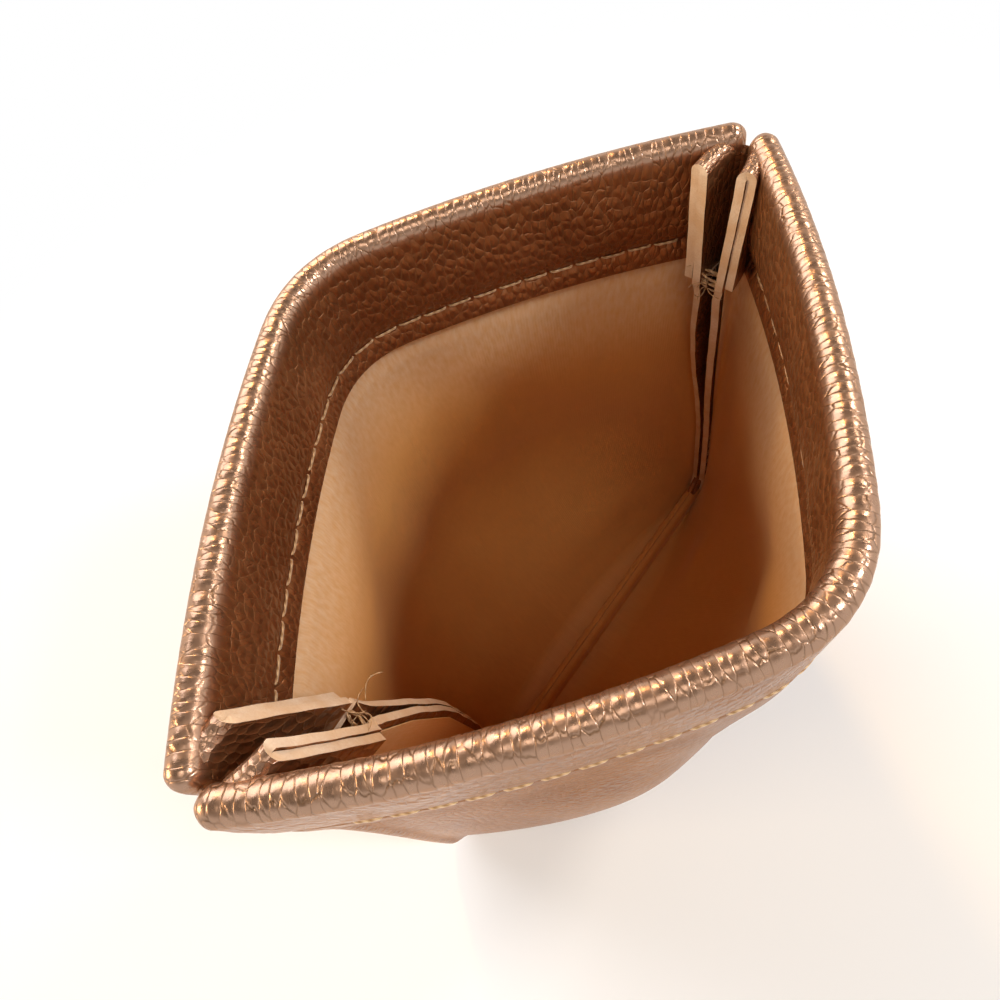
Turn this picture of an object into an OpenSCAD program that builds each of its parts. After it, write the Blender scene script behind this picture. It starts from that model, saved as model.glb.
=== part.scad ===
// Squeeze-open coin purse, standing upright with its mouth pinched open.
// Two lined leather panels, each with a hem channel along its top that holds a curved spring strip.
// Frame: +Z up, +X along the mouth from corner to corner, +Y towards the back panel,
// origin at the middle of the bottom seam. Millimetres.

/* [Panels] */
// Finished width of a panel when the purse lies flat
panel_w = 92; // [84:1:110]
// Height from the bottom seam to the crest of the rim
purse_h = 85; // [75:1:110]
// Thickness of the leather
leather_t = 0.8; // [0.6:0.1:1]
// Radius of the two bottom corners
corner_r = 9; // [5:0.5:14]
// Greatest depth of the open pouch, front to back
pouch_depth = 48; // [40:1:54]
// Radius of the leather where a side edge turns inward
fold_r = 1.2; // [1:0.1:1.3]
// Width of the turned-in allowance along the side seams
allowance_w = 5.5; // [4:0.5:8]
// Height of the turned-in allowance along the bottom seam
bottom_allowance_h = 5.5; // [4:0.5:8]

/* [Mouth] */
// Angle by which each half of a rim swings out when the mouth is pinched open
mouth_angle = 39; // [30:1:42]
// Radius of the rim where its spring strip buckles
bend_r = 13.5; // [11:0.5:15]
// Thickness of the rim across the hem channel
rim_t = 2.9; // [2.5:0.1:3.4]
// Depth of the hem from the crest of the rim to the cut edge of its facing
hem_depth = 16.5; // [15:0.5:22]
// Distance from the cut edge of the facing up to the stitch line
stitch_inset = 3; // [2:0.5:4]
// Angle by which each folded hem end fans away from the middle plane
fan_angle = 7; // [3:0.5:10]

/* [Spring strips] */
// Width of the spring strip
spring_w = 9.5; // [8:0.5:11]
// Thickness of the spring steel
spring_t = 0.2; // [0.15:0.05:0.3]
// Height of the strip's curved cross-section
spring_crown = 0.4; // [0.2:0.05:0.5]
// Length of the tape wrapped round each cut end of a strip
tape_len = 6; // [4:0.5:10]
// Thickness of that tape
tape_t = 0.12; // [0.1:0.01:0.15]

/* [Stitching] */
// Distance between needle holes
stitch_pitch = 3.2; // [2.4:0.1:4]
// Diameter of the sewing thread
thread_d = 0.45; // [0.3:0.05:0.6]

/* [Lining] */
// Thickness of the lining cloth
lining_t = 0.3; // [0.2:0.05:0.4]
// Room left between the lining and the leather
lining_gap = 0.3; // [0.2:0.05:0.6]

/* [Clearances] */
// Room between pieces that move past each other
clearance = 0.3; // [0.2:0.05:0.4]

/* [Hidden] */

leather_colour = "#b58a6c";
facing_colour = "#9c7152";
lining_colour = "#d9b48c";
steel_colour = "#b9bec2";
tape_colour = "#e8e4d8";
thread_colour = "#c98f4e";

// The rim's centre line, seen from above: straight from the corner of the mouth, then half of a round bend.
half_rim = rim_t / 2;
corner_y = half_rim + clearance;
bend_len = bend_r * mouth_angle * PI / 180;
straight_len = panel_w / 2 - half_rim - bend_len;
corner_x = straight_len * cos(mouth_angle) + bend_r * sin(mouth_angle);
bend_start_x = bend_r * sin(mouth_angle);
bend_centre_y = corner_y + straight_len * sin(mouth_angle) - bend_r * cos(mouth_angle);
stitch_depth = hem_depth - stitch_inset;

// The hem channel in cross-section: cavity for the spring, closed below by the stitch line.
cavity_t = rim_t - 2 * leather_t;
cavity_bottom_z = purse_h - stitch_depth + thread_d;
cavity_taper_h = 1;
cavity_top_z = purse_h - half_rim + cavity_t / 2;
hem_bottom_z = purse_h - hem_depth;
spring_mid_z = (cavity_bottom_z + cavity_taper_h + cavity_top_z) / 2;
spring_end_gap = 1;

// The pouch below the hems.
wall_top_z = hem_bottom_z - clearance;
seam_gap = 0.1;
// How far each side seam stands out at the foot of the pouch from its place at the mouth
flank_w = 2.2;
// Distance from the rounded side fold to the seam's thread
seam_inset = 1;
outer_corner_x = corner_x + half_rim;
outer_mouth_y = bend_centre_y + bend_r + half_rim;

// One quarter of the pouch's outer face at a height: from the side seam to the middle of the panel.
quarter_steps = 12;
fold_steps = 5;
wall_levels = 16;
// Above 1, the levels crowd together near the round bottom corners
level_power = 1.7;

function blend01(t) = let (c = max(0, min(1, t))) c * c * (3 - 2 * c);
// Half width of the pouch at height z, with round bottom corners
function side_x(z) = let (drop = max(0, corner_r - z))
    outer_corner_x + flank_w * (1 - blend01(z / wall_top_z)) - corner_r + sqrt(max(0, corner_r * corner_r - drop * drop));
// Half depth of the pouch at height z: full over the belly, and closing to the bottom seam
function belly_y(z) = let (full = pouch_depth / 2, low = 2 * fold_r + seam_gap)
    low + (full - low) * pow(sin(90 * min(1, z / (0.42 * purse_h))), 0.8)
    + (outer_mouth_y - full) * blend01((z / wall_top_z - 0.55) / 0.45);
// Share of the quarter that is straight before it bends round
function straight_share(z) = 0.1 + (straight_len / (straight_len + bend_len) - 0.1) * blend01((z / wall_top_z - 0.3) / 0.7);

// Points of a quarter that turns evenly through mouth_angle after its straight share, from 0 to 1 both ways
function turn_x(u, s) = u <= s ? u * cos(mouth_angle)
    : s * cos(mouth_angle) + (1 - s) / (mouth_angle * PI / 180)
        * (sin(mouth_angle) - sin(mouth_angle * (1 - u) / (1 - s)));
function turn_y(u, s) = u <= s ? u * sin(mouth_angle)
    : s * sin(mouth_angle) + (1 - s) / (mouth_angle * PI / 180)
        * (cos(mouth_angle * (1 - u) / (1 - s)) - cos(mouth_angle));
function quarter_point(u, z, inset) = let (
        s = straight_share(z),
        fold_x = side_x(z),
        rise = max(0.01, belly_y(z) - 2 * fold_r - seam_gap),
        x = -fold_x + fold_r + (fold_x - fold_r) * turn_x(u, s) / turn_x(1, s),
        y = 2 * fold_r + seam_gap + rise * turn_y(u, s) / turn_y(1, s),
        tx = (u <= s ? cos(mouth_angle) : cos(mouth_angle * (1 - u) / (1 - s))) * (fold_x - fold_r) / turn_x(1, s),
        ty = (u <= s ? sin(mouth_angle) : sin(mouth_angle * (1 - u) / (1 - s))) * rise / turn_y(1, s),
        len = sqrt(tx * tx + ty * ty)
    ) [x + inset * ty / len, y - inset * tx / len, z];
// Points of the rounded side fold, from the seam plane round to the start of the quarter
function fold_point(k, z, inset) = let (a = -90 - 180 * k / fold_steps)
    [-side_x(z) + fold_r + (fold_r - inset) * cos(a), fold_r + seam_gap + (fold_r - inset) * sin(a), z];
function side_half(z, inset) = concat(
    [[-side_x(z) + fold_r + allowance_w, seam_gap + inset, z]],
    [for (k = [0 : fold_steps - 1]) fold_point(k, z, inset)],
    [for (k = [0 : quarter_steps]) quarter_point(k / quarter_steps, z, inset)]);
function flip(points) = [for (k = [len(points) - 2 : -1 : 0]) [-points[k][0], points[k][1], points[k][2]]];
function panel_line(z, inset) = let (half = side_half(z, inset)) concat(half, flip(half));
function lining_half(z, inset, first) =
    [for (k = [first : quarter_steps]) quarter_point(k / quarter_steps, z, inset)];
function lining_line(z, inset, first) = let (half = lining_half(z, inset, first)) concat(half, flip(half));

// A sheet of even thickness between two stacks of lines, outer and inner, as one closed solid
module sheet(outer, inner) {
    n = len(outer[0]);
    m = len(outer);
    points = concat([for (line = outer) each line], [for (line = inner) each line]);
    o = n * m;
    faces = concat(
        [for (j = [0 : m - 2], i = [0 : n - 2]) each [
            [j * n + i, j * n + i + 1, (j + 1) * n + i + 1],
            [j * n + i, (j + 1) * n + i + 1, (j + 1) * n + i]]],
        [for (j = [0 : m - 2], i = [0 : n - 2]) each [
            [o + j * n + i, o + (j + 1) * n + i + 1, o + j * n + i + 1],
            [o + j * n + i, o + (j + 1) * n + i, o + (j + 1) * n + i + 1]]],
        [for (i = [0 : n - 2]) each [
            [i, o + i, o + i + 1], [i, o + i + 1, i + 1]]],
        [for (i = [0 : n - 2]) let (a = (m - 1) * n + i) each [
            [a, o + a + 1, o + a], [a, a + 1, o + a + 1]]],
        [for (j = [0 : m - 2]) let (a = j * n) each [
            [a, a + n, o + a + n], [a, o + a + n, o + a]]],
        [for (j = [0 : m - 2]) let (a = j * n + n - 1) each [
            [a, o + a + n, a + n], [a, o + a, o + a + n]]]);
    polyhedron(points, faces, convexity = 8);
}

function level_z(k, low, high) = low + (high - low) * pow(k / wall_levels, level_power);

module panel() {
    levels = [for (k = [0 : wall_levels]) level_z(k, 0, wall_top_z)];
    sheet([for (z = levels) panel_line(z, 0)], [for (z = levels) panel_line(z, leather_t)]);
    bottom_half_w = side_x(0) - fold_r;
    translate([-bottom_half_w, seam_gap, 0])
        cube([2 * bottom_half_w, leather_t, bottom_allowance_h]);
    translate([-bottom_half_w, seam_gap, 0])
        cube([2 * bottom_half_w, 2 * fold_r - leather_t / 2, leather_t]);
}

module lining() {
    inset = leather_t + lining_gap;
    low = bottom_allowance_h + 2 * lining_gap;
    levels = [for (k = [0 : wall_levels]) level_z(k, low, wall_top_z)];
    first = 2;
    sheet([for (z = levels) lining_line(z, inset, first)], [for (z = levels) lining_line(z, inset + lining_t, first)]);
}

// Mirrors a back-left piece into one of the four quarters of the mouth
module quarter(side_sign, face_sign) {
    mirror([side_sign > 0 ? 1 : 0, 0, 0])
        mirror([0, face_sign > 0 ? 0 : 1, 0])
            children();
}

// Outlines of the hem and of its cavity: first coordinate outward from the rim's centre line, second is height
module hem_skin_outline() {
    intersection() {
        translate([0, purse_h - half_rim])
            circle(r = half_rim, $fn = 48);
        translate([-half_rim, purse_h - half_rim])
            square([rim_t, half_rim]);
    }
    polygon([
        [half_rim, purse_h - half_rim], [half_rim, hem_bottom_z],
        [half_rim - 2 * leather_t, hem_bottom_z], [half_rim - 2 * leather_t, cavity_bottom_z - thread_d],
        [-half_rim, cavity_bottom_z + cavity_taper_h], [-half_rim, purse_h - half_rim]]);
}
module cavity_outline() {
    polygon([
        [cavity_t / 2, cavity_top_z - cavity_t / 4], [cavity_t / 2, cavity_bottom_z],
        [-cavity_t / 2, cavity_bottom_z + cavity_taper_h], [-cavity_t / 2, cavity_top_z - cavity_t / 4],
        [-cavity_t / 4, cavity_top_z], [cavity_t / 4, cavity_top_z]]);
}

// Carries an upright outline along the straight stretch of the back-left rim
module along_straight(from, length) {
    translate([-corner_x, corner_y, 0])
        rotate([0, 0, mouth_angle])
            translate([from, 0, 0])
                rotate([90, 0, 90])
                    linear_extrude(height = length)
                        children();
}

// Carries an upright outline round the half bend, from the straight stretch to the middle of the panel
module along_bend(gap_angle) {
    translate([0, bend_centre_y, 0])
        rotate([0, 0, 90])
            rotate_extrude(angle = mouth_angle - gap_angle, $fn = 96)
                translate([bend_r, 0])
                    children();
}

bend_gap_angle = clearance / bend_r * 180 / PI / 2;

// The straight stretch, closed at the mouth's corner and cut flat along the plane between the two rims
module straight_hem() {
    color(leather_colour)
        difference() {
            along_straight(-half_rim, half_rim + straight_len)
                hem_skin_outline();
            along_straight(0, straight_len + clearance)
                cavity_outline();
            translate([-panel_w, clearance - rim_t, 0])
                cube([panel_w, rim_t, 2 * purse_h]);
        }
}

module bend_hem() {
    color(leather_colour)
        along_bend(bend_gap_angle)
            difference() {
                hem_skin_outline();
                cavity_outline();
            }
}

// Curved cross-section of the spring strip, bowed outward
module spring_outline(crown) {
    steps = 8;
    function bow(t) = crown * (1 - t * t) - crown / 2;
    polygon(concat(
        [for (k = [0 : steps]) let (t = 2 * k / steps - 1) [bow(t) + spring_t / 2, spring_mid_z + t * spring_w / 2]],
        [for (k = [steps : -1 : 0]) let (t = 2 * k / steps - 1) [bow(t) - spring_t / 2, spring_mid_z + t * spring_w / 2]]));
}

module straight_spring() {
    color(steel_colour)
        along_straight(spring_end_gap, straight_len - spring_end_gap - clearance)
            spring_outline(spring_crown);
}

module bend_spring() {
    color(steel_colour)
        along_bend(bend_gap_angle)
            translate([-spring_t / 2, spring_mid_z - spring_w / 2])
                square([spring_t, spring_w]);
}

// Tape folded round the strip's cut end
module spring_tape() {
    inner_t = spring_crown + spring_t;
    color(tape_colour)
        along_straight(spring_end_gap, tape_len)
            difference() {
                translate([-inner_t / 2 - tape_t, spring_mid_z - spring_w / 2 - tape_t])
                    square([inner_t + 2 * tape_t, spring_w + 2 * tape_t]);
                translate([-inner_t / 2, spring_mid_z - spring_w / 2])
                    square([inner_t, spring_w]);
            }
}

// One stitch: a run of thread on each face, joined through the two layers at its first needle hole
module stitch(run) {
    out = half_rim + thread_d / 4;
    back = half_rim - 2 * leather_t - thread_d / 4;
    for (face = [out, back])
        translate([0, face, 0])
            rotate([0, 90, 0])
                cylinder(d = thread_d, h = run, $fn = 16);
    translate([thread_d / 2, back, 0])
        rotate([-90, 0, 0])
            cylinder(d = thread_d * 0.8, h = out - back, $fn = 16);
}

stitch_z = purse_h - stitch_depth - thread_d / 2;
stitch_count = floor((straight_len - stitch_pitch / 2) / stitch_pitch);
stitch_run = stitch_pitch * 0.72;

module straight_stitches() {
    color(thread_colour)
        translate([-corner_x, corner_y, stitch_z])
            rotate([0, 0, mouth_angle])
                for (k = [0 : stitch_count - 1])
                    translate([straight_len - (k + 1) * stitch_pitch + (stitch_pitch - stitch_run) / 2, 0, 0])
                        stitch(stitch_run);
}

bend_stitch_count = floor(bend_len / stitch_pitch);
bend_stitch_angle = mouth_angle / bend_stitch_count;

module bend_stitches() {
    color(thread_colour)
        for (k = [0 : bend_stitch_count - 1])
            translate([0, bend_centre_y, stitch_z])
                rotate([0, 0, bend_stitch_angle * (k + 0.5)])
                    translate([-stitch_run / 2, bend_r, 0])
                        stitch(stitch_run);
}

// The folded hem end, turned inward at the corner of the mouth: two layers, joined along the crest
layer_gap = clearance;
hem_end_t = 2 * leather_t + layer_gap;
module hem_end() {
    wedge = mouth_angle - fan_angle;
    root_y = clearance + seam_gap;
    hem_room = half_rim + clearance - (corner_y - root_y) * cos(mouth_angle);
    // Nearest that a point at depth y may come to the hem's inner face
    function start_x(y) = (hem_room + y * cos(wedge)) / sin(wedge);
    free = allowance_w + fold_r;
    end_h = hem_depth - half_rim / 2;
    color(facing_colour)
        translate([-corner_x, root_y, hem_bottom_z])
            rotate([0, 0, fan_angle])
                difference() {
                    linear_extrude(height = end_h)
                        polygon([[start_x(0), 0], [free, 0], [free, hem_end_t], [start_x(hem_end_t), hem_end_t]]);
                    translate([start_x(hem_end_t), leather_t, -leather_t])
                        cube([free, layer_gap, end_h]);
                }
}

// Thread that ties the back and front allowances together at the foot of the hem
module bartack() {
    reach = clearance + seam_gap + leather_t / 2;
    color(thread_colour)
        for (k = [0 : 2])
            translate([-corner_x + fold_r + 2 * seam_inset + k * thread_d * 1.6, -reach, hem_bottom_z + thread_d + k * thread_d])
                rotate([-90, 0, 0])
                    cylinder(d = thread_d, h = 2 * reach, $fn = 16);
}

// Stitches that close a side seam through both allowances
module side_thread() {
    reach = seam_gap + leather_t + thread_d / 4;
    top = wall_top_z - stitch_pitch;
    count = floor((top - corner_r - bottom_allowance_h) / stitch_pitch);
    color(thread_colour)
        for (k = [0 : count - 1])
            let (z = top - (k + 1) * stitch_pitch, x = -side_x(z) + fold_r + seam_inset)
                for (face = [-reach, reach])
                    translate([x, face, z])
                        cylinder(d = thread_d, h = stitch_run, $fn = 16);
}

// Stitches that close the bottom seam through both allowances
module bottom_thread() {
    reach = seam_gap + leather_t + thread_d / 4;
    width = 2 * (side_x(0) - fold_r) - 2 * stitch_pitch;
    count = floor(width / stitch_pitch);
    color(thread_colour)
        for (k = [0 : count - 1], face = [-reach, reach])
            translate([(k - count / 2) * stitch_pitch, face, 2 * leather_t])
                rotate([0, 90, 0])
                    cylinder(d = thread_d, h = stitch_run, $fn = 16);
}

LEFT = -1;
RIGHT = 1;
BACK = 1;
FRONT = -1;

module back_panel() { color(leather_colour) panel(); }
module front_panel() { color(leather_colour) mirror([0, 1, 0]) panel(); }
module back_lining() { color(lining_colour) lining(); }
module front_lining() { color(lining_colour) mirror([0, 1, 0]) lining(); }

back_panel();
front_panel();
back_lining();
front_lining();
bottom_thread();  // bottom_seam_thread
side_thread();  // left_seam_thread
mirror([1, 0, 0]) side_thread();  // right_seam_thread
quarter(LEFT, BACK) straight_hem();  // back_left_hem
quarter(RIGHT, BACK) straight_hem();  // back_right_hem
quarter(LEFT, FRONT) straight_hem();  // front_left_hem
quarter(RIGHT, FRONT) straight_hem();  // front_right_hem
quarter(LEFT, BACK) bend_hem();  // back_left_bend_hem
quarter(RIGHT, BACK) bend_hem();  // back_right_bend_hem
quarter(LEFT, FRONT) bend_hem();  // front_left_bend_hem
quarter(RIGHT, FRONT) bend_hem();  // front_right_bend_hem
quarter(LEFT, BACK) straight_spring();  // back_left_spring
quarter(RIGHT, BACK) straight_spring();  // back_right_spring
quarter(LEFT, FRONT) straight_spring();  // front_left_spring
quarter(RIGHT, FRONT) straight_spring();  // front_right_spring
quarter(LEFT, BACK) bend_spring();  // back_left_bend_spring
quarter(RIGHT, BACK) bend_spring();  // back_right_bend_spring
quarter(LEFT, FRONT) bend_spring();  // front_left_bend_spring
quarter(RIGHT, FRONT) bend_spring();  // front_right_bend_spring
quarter(LEFT, BACK) spring_tape();  // back_left_spring_tape
quarter(RIGHT, BACK) spring_tape();  // back_right_spring_tape
quarter(LEFT, FRONT) spring_tape();  // front_left_spring_tape
quarter(RIGHT, FRONT) spring_tape();  // front_right_spring_tape
quarter(LEFT, BACK) straight_stitches();  // back_left_stitches
quarter(RIGHT, BACK) straight_stitches();  // back_right_stitches
quarter(LEFT, FRONT) straight_stitches();  // front_left_stitches
quarter(RIGHT, FRONT) straight_stitches();  // front_right_stitches
quarter(LEFT, BACK) bend_stitches();  // back_left_bend_stitches
quarter(RIGHT, BACK) bend_stitches();  // back_right_bend_stitches
quarter(LEFT, FRONT) bend_stitches();  // front_left_bend_stitches
quarter(RIGHT, FRONT) bend_stitches();  // front_right_bend_stitches
quarter(LEFT, BACK) hem_end();  // back_left_hem_end
quarter(RIGHT, BACK) hem_end();  // back_right_hem_end
quarter(LEFT, FRONT) hem_end();  // front_left_hem_end
quarter(RIGHT, FRONT) hem_end();  // front_right_hem_end
bartack();  // left_bartack
mirror([1, 0, 0]) bartack();  // right_bartack
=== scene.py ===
import math

import bpy
import numpy as np
from mathutils import Matrix, Vector


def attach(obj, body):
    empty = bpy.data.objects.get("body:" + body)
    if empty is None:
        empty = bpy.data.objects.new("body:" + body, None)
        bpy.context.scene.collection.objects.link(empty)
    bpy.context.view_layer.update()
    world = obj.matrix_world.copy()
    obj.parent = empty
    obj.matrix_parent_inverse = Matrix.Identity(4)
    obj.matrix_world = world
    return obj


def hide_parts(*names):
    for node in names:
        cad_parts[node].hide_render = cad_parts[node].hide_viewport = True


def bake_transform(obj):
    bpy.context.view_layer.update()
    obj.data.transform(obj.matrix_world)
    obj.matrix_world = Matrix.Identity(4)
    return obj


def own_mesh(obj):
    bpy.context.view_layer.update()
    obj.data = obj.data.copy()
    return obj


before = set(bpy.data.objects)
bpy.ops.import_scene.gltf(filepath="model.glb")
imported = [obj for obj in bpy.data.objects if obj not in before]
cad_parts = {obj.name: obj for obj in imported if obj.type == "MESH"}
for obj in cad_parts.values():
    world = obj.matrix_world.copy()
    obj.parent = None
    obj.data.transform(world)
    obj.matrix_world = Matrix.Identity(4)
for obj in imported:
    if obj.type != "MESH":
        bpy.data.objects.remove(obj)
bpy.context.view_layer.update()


# ----------------------------------------
# The studio: a sweep of white paper, a window and a ceiling panel in front of the purse, a second
# window at its right, a tall one behind it and two warm lamps. The camera looks down close above
# the open mouth and is turned a little on its own axis.
# ----------------------------------------
def linear(hex_colour):
    """Turns an sRGB hex colour into linear red, green, blue and an alpha of 1."""
    part = np.array([int(hex_colour[i:i + 2], 16) for i in (1, 3, 5)]) / 255
    return (*np.where(part <= 0.04045, part / 12.92, ((part + 0.055) / 1.055) ** 2.4), 1.0)


def add(tree, kind, inputs=None, stops=(), **settings):
    """Adds one shader node, with its settings, its plain input values, its links and, on a colour
    ramp, the place and colour of each stop. A node given as an input stands for its first output."""
    made = tree.nodes.new("ShaderNode" + kind)
    for name, value in settings.items():
        setattr(made, name, value)
    for name, value in (inputs or {}).items():
        if isinstance(value, bpy.types.Node):
            value = value.outputs[0]
        if isinstance(value, bpy.types.NodeSocket):
            tree.links.new(value, made.inputs[name])
        else:
            made.inputs[name].default_value = value
    for number, (position, hex_colour) in enumerate(stops):
        made.color_ramp.elements[number].position = position
        made.color_ramp.elements[number].color = linear(hex_colour)
    return made


def new_material(name):
    """An empty node material and its tree."""
    made = bpy.data.materials.new(name)
    made.use_nodes = True
    made.node_tree.nodes.clear()
    return made, made.node_tree


camera_data = bpy.data.cameras.new("camera")
camera_data.lens = 25.2
camera_data.sensor_width = 36.0
camera_data.shift_x, camera_data.shift_y = -0.01, -0.05
camera_data.clip_start = 0.005
camera = bpy.data.objects.new("camera", camera_data)
mouth_middle, stand_off = Vector((-0.0043, -0.0022, 0.085)), 0.0545
turn, rise, roll = math.radians(-35.4), math.radians(59.75), math.radians(-18.6)
back = Vector((math.sin(turn) * math.cos(rise), -math.cos(turn) * math.cos(rise), math.sin(rise)))
level = Vector((math.cos(turn), math.sin(turn), 0.0))
upward = back.cross(level)
right = math.cos(roll) * level + math.sin(roll) * upward
upward = math.cos(roll) * upward - math.sin(roll) * level
eye = mouth_middle + back * stand_off
camera.matrix_world = Matrix.Translation(eye) @ Matrix((right, upward, back)).transposed().to_4x4()
bpy.context.collection.objects.link(camera)
bpy.context.scene.camera = camera

paper_half = 3.0
floor_mesh = bpy.data.meshes.new("floor")
floor_corners = [(x * paper_half, y * paper_half, 0) for x, y in ((-1, -1), (1, -1), (1, 1), (-1, 1))]
floor_mesh.from_pydata(floor_corners, [], [(0, 1, 2, 3)])
floor = bpy.data.objects.new("floor", floor_mesh)
bpy.context.collection.objects.link(floor)
# White paper: it keeps the shadow near the purse and runs out to plain white round it.
paper, tree = new_material("white_paper")
away = add(tree, "VectorMath", {0: add(tree, "TexCoord").outputs["Object"]}, operation="LENGTH")
far = add(tree, "MapRange", {"Value": away.outputs["Value"], "From Min": 0.05, "From Max": 0.2},
          interpolation_type="SMOOTHSTEP")
path = add(tree, "LightPath")
seen = path.outputs["Is Camera Ray"]
for ray in ("Is Glossy Ray", "Is Transmission Ray"):
    seen = add(tree, "Math", {0: seen, 1: path.outputs[ray]}, operation="MAXIMUM")
seen = add(tree, "Math", {0: seen, 1: far}, operation="MULTIPLY")
matt = add(tree, "BsdfDiffuse", {"Color": linear("#f0f0f0")})
plain = add(tree, "Emission")
mixed = add(tree, "MixShader", {0: seen, 1: matt, 2: plain})
add(tree, "OutputMaterial", {"Surface": mixed})
floor_mesh.materials.append(paper)

# Each lamp's name, place and width in metres, power in watts and colour. All face the purse.
lit_point = Vector((0, 0, 0.05))
for lamp_name, place, size, power, tint in (
    ("window", (0.30, -0.48, 0.56), 0.16, 2.5, "#f8faff"),
    ("ceiling_panel", (-0.14, -0.20, 0.66), 0.24, 0.7, "#fff6ea"),
    ("side_window", (0.58, -0.12, 0.48), 0.17, 1.7, "#fff4e6"),
    ("back_window", (0.05, 0.60, 0.49), 0.55, 3.6, "#fcfcff"),
    ("low_lamp", (-0.60, 0.45, 0.27), 0.26, 3.2, "#ffdeae"),
    ("desk_lamp", (0.24, 0.40, 0.50), 0.06, 1.1, "#ffcb7c"),
):
    lamp = bpy.data.lights.new(lamp_name, "AREA")
    lamp.size, lamp.energy, lamp.color = size, power, linear(tint)[:3]
    lamp_object = bpy.data.objects.new(lamp_name, lamp)
    lamp_object.location = place
    lamp_object.rotation_euler = (Vector(place) - lit_point).to_track_quat("Z", "Y").to_euler()
    bpy.context.collection.objects.link(lamp_object)

# The air: white round the sides and grey overhead, which shades what lies level in the foil.
world = bpy.data.worlds.new("studio_air")
world.use_nodes = True
world.node_tree.nodes.clear()
tree = world.node_tree
height = add(tree, "SeparateXYZ", {0: add(tree, "TexCoord").outputs["Generated"]}).outputs["Z"]
sky = add(tree, "ValToRGB", {0: height}, stops=[(0.28, "#ffffff"), (0.66, "#555351")])
air = add(tree, "Background", {"Color": sky})
add(tree, "OutputWorld", {"Surface": air})
bpy.context.scene.world = world
bpy.context.scene.view_settings.view_transform = "Standard"


# ----------------------------------------
# The four leather hems: tanned cowhide 0.8 mm thick with a pebbled grain and a rose-bronze foil,
# turned over at the crest of the rim into a facing and stitched down, which leaves a channel
# for the spring strip. Each half of a rim is one piece, from the mouth's corner to its middle.
# ----------------------------------------
purse_h = 85.0
half_rim = 1.45                      # half the hem's thickness
half_length = 44.55                  # along the rim, from the mouth's corner to the middle
corner = np.array([-35.976, 1.75])   # where the back-left rim's centre line starts
stitch_z = 71.5
facing_z = 68.5                      # cut edge of the facing
QUARTERS = [(face, side) for face in ("back", "front") for side in ("left", "right")]


def smooth_step(t):
    """Rises from 0 to 1 with level ends: three t squared less two t cubed."""
    t = np.clip(t, 0, 1)
    return t * t * (3 - 2 * t)


def rim_line(s, lift=0.0):
    """Plan of the back-left rim: starts at the mouth's corner and runs s mm along its centre line.
    Its heading falls evenly over the long stretch, then quickly to zero at the middle, where the
    spring strip buckles; the place is the running sum of the heading's cosine and sine, and lift
    moves it along the outward normal. Before the corner it runs straight back."""
    bend_from, early_fall, buckle_power = 37.5, math.radians(15), 1.25
    fine = np.linspace(0, half_length, 2000)

    def heading(t, at_bend):
        slope = at_bend + early_fall * (1 - np.clip(t, 0, bend_from) / bend_from)
        fall = np.clip((t - bend_from) / (half_length - bend_from), 0, 1)
        return slope * (1 - fall ** buckle_power)

    low, high = 0.2, 1.0
    for _ in range(40):
        middle = (low + high) / 2
        reach = np.cos(heading(fine, middle)).mean() * half_length
        low, high = (middle, high) if reach > -corner[0] else (low, middle)
    angle = heading(fine, middle)
    way = np.stack([np.cos(angle), np.sin(angle)])
    steps = (way[:, 1:] + way[:, :-1]) / 2 * fine[1]
    run = corner[:, None] + np.pad(np.cumsum(steps, axis=1), ((0, 0), (1, 0)))
    before = np.minimum(s, 0)
    here = np.interp(s, fine, angle)
    return np.stack([
        np.interp(s, fine, run[0]) + before * np.cos(here) - lift * np.sin(here),
        np.interp(s, fine, run[1]) + before * np.sin(here) + lift * np.cos(here)], axis=-1)


def run_along(points, stretch=1.0):
    """Length run along a broken line, or many, up to each point: the running sum of its steps."""
    steps = np.linalg.norm(np.diff(points, axis=-2), axis=-1) * stretch
    return np.concatenate([np.zeros_like(steps[..., :1]), np.cumsum(steps, axis=-1)], axis=-1)


def even_run(points, count):
    """Points at equal distances along a broken line."""
    run = run_along(points)
    at = np.linspace(0, run[-1], count)
    return np.stack([np.interp(at, run, values) for values in points.T], axis=1)


def stacked(*parts):
    """Stretches arrays to one shape and stacks them along a new last axis."""
    return np.stack(np.broadcast_arrays(*parts), -1)


def grid_faces(rows, columns):
    """Quads round a tube: rows of points numbered one after another, each row a closed ring."""
    this, j = np.meshgrid(np.arange(rows - 1) * columns, np.arange(columns), indexing="ij")
    k, above = (j + 1) % columns, this + columns
    return np.stack([this + j, this + k, above + k, above + j], -1).reshape(-1, 4)


def make_piece(name, points, faces, materials, slots=None, uv=None, crease=None):
    """Puts points in mm and quads into a mesh in metres, turned so that its signed volume,
    the sum of each face's corner products, is positive."""
    points = np.asarray(points, float).reshape(-1, 3)
    a, b, c, d = (points[faces[:, k]] for k in range(4))
    if np.einsum("ij,ij->i", a, np.cross(b, c) + np.cross(c, d)).sum() < 0:
        faces = faces[:, ::-1]
    mesh = bpy.data.meshes.new(name)
    mesh.from_pydata((points * 0.001).tolist(), [], faces.tolist())
    mesh.polygons.foreach_set("use_smooth", np.ones(len(faces), bool))
    if slots is not None:
        mesh.polygons.foreach_set("material_index", np.asarray(slots, np.int32))
    if uv is not None:
        corners = np.empty(len(mesh.loops), np.int32)
        mesh.loops.foreach_get("vertex_index", corners)
        layer = mesh.uv_layers.new(name="run")
        layer.data.foreach_set("uv", np.asarray(uv, float).reshape(-1, 2)[corners].ravel())
    if crease:
        mesh.set_sharp_from_angle(angle=math.radians(crease))
    for material in materials:
        mesh.materials.append(material)
    mesh.validate()
    made = bpy.data.objects.new(name, mesh)
    bpy.context.collection.objects.link(made)
    return made


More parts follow.
